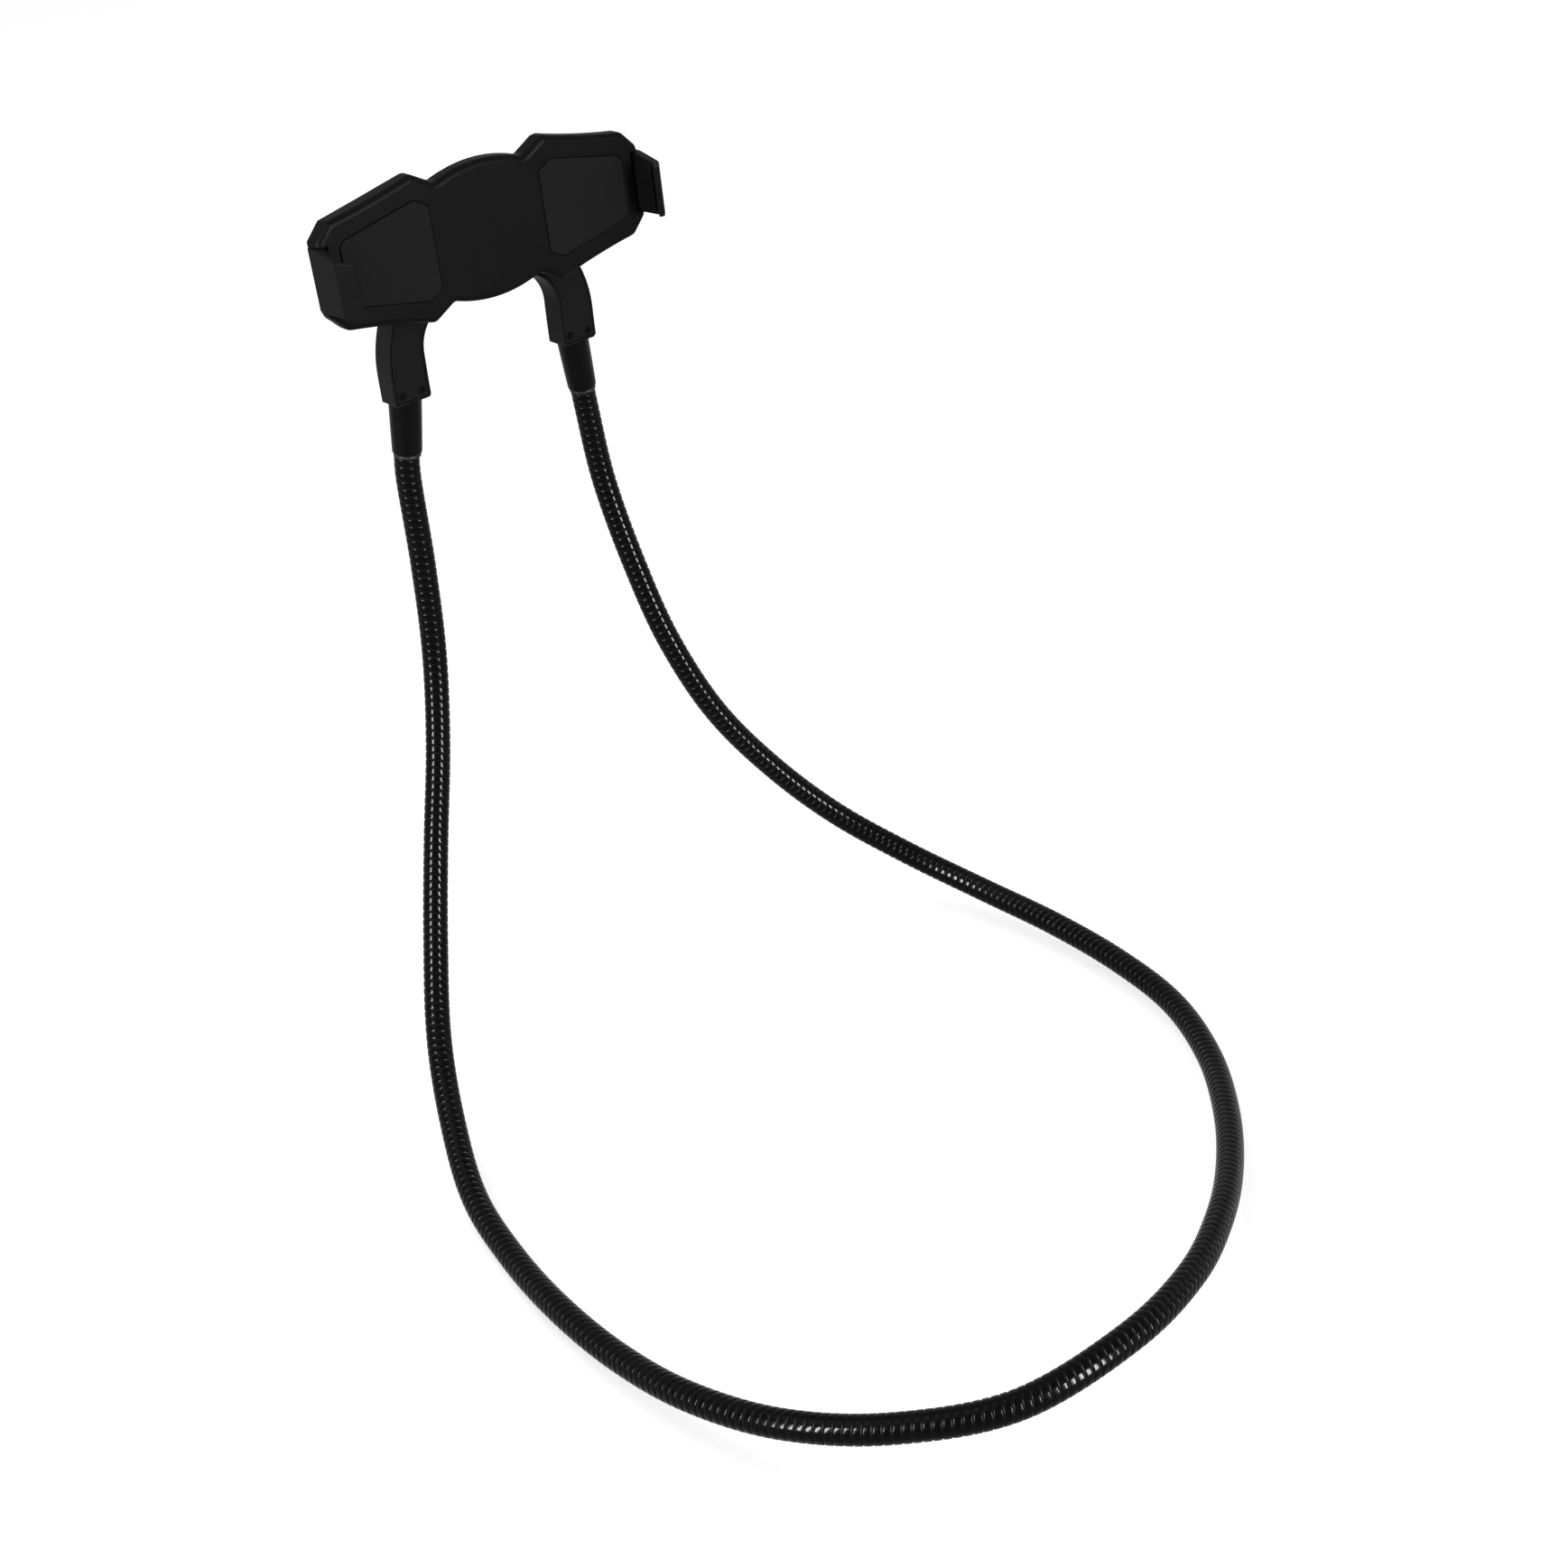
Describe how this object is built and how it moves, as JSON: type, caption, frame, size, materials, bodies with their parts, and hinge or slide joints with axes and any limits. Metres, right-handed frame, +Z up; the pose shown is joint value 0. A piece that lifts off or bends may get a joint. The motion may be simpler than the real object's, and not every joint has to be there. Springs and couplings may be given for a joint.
{
  "type": "neck phone holder",
  "caption": "Hands-free phone holder: a sprung clamp with two sliding hooks turns on an arched yoke, carried by one long ribbed gooseneck that loops round the neck.",
  "frame": {"origin": "on the gooseneck's centre line, where the loop lies on the nape of the neck", "axes": "+X along the clamp's long side, to the right as seen from in front of its face; +Y from the nape to the clamp, out of the clamp's back; +Z up. The device is held on the -Y face of the clamp"},
  "size_m": [0.2341, 0.3009, 0.2789],
  "materials": {
    "clamp_plastic": "satin moulded",
    "soft_pad": "matte, faint speckle",
    "yoke_plastic": "satin moulded",
    "yoke_cover_plastic": "fine matte",
    "black_screw": "black oxide",
    "bright_steel": "plain",
    "nylon": "natural",
    "plug_alloy": "turned",
    "sleeve_gloss": "half gloss",
    "plated_ring": "black nickel",
    "gooseneck_coat": "gloss black"
  },
  "bodies": {
    "yoke": {"yoke_shell": "yoke_plastic", "yoke_cover": "yoke_cover_plastic", "leg_screws": "black_screw", "yoke_screws": "black_screw", "friction_washer": "nylon", "wave_washer": "bright_steel", "hub_cap": "yoke_plastic", "left_plug": "plug_alloy", "right_plug": "plug_alloy", "left_sleeve": "sleeve_gloss", "right_sleeve": "sleeve_gloss", "left_ring": "plated_ring", "right_ring": "plated_ring", "gooseneck": "gooseneck_coat"},
    "clamp": {"front_cover": "clamp_plastic", "rear_cover": "clamp_plastic", "left_face_pad": "soft_pad", "right_face_pad": "soft_pad", "cover_screws": "black_screw", "retaining_washer": "bright_steel", "pivot_screw": "bright_steel", "left_spring": "bright_steel", "right_spring": "bright_steel"},
    "left_hook": {"left_hook": "clamp_plastic", "left_hook_pad": "soft_pad"},
    "right_hook": {"right_hook": "clamp_plastic", "right_hook_pad": "soft_pad"}
  },
  "joints": [
    {"name": "clamp_swivel", "type": "hinge", "parent": "yoke", "child": "clamp", "pos_m": [0.04, 0.285, 0.229], "axis": [0, -1, 0], "continuous": true},
    {"name": "left_hook_slide", "type": "slide", "parent": "clamp", "child": "left_hook", "axis": [-1, 0, 0], "range_m": [0, 0.038], "stiffness_N_per_m": 180, "springref_m": -0.017, "deforming": ["left_spring"]},
    {"name": "right_hook_slide", "type": "slide", "parent": "clamp", "child": "right_hook", "axis": [1, 0, 0], "range_m": [0, 0.038], "stiffness_N_per_m": 180, "springref_m": -0.017, "deforming": ["right_spring"]}
  ]
}
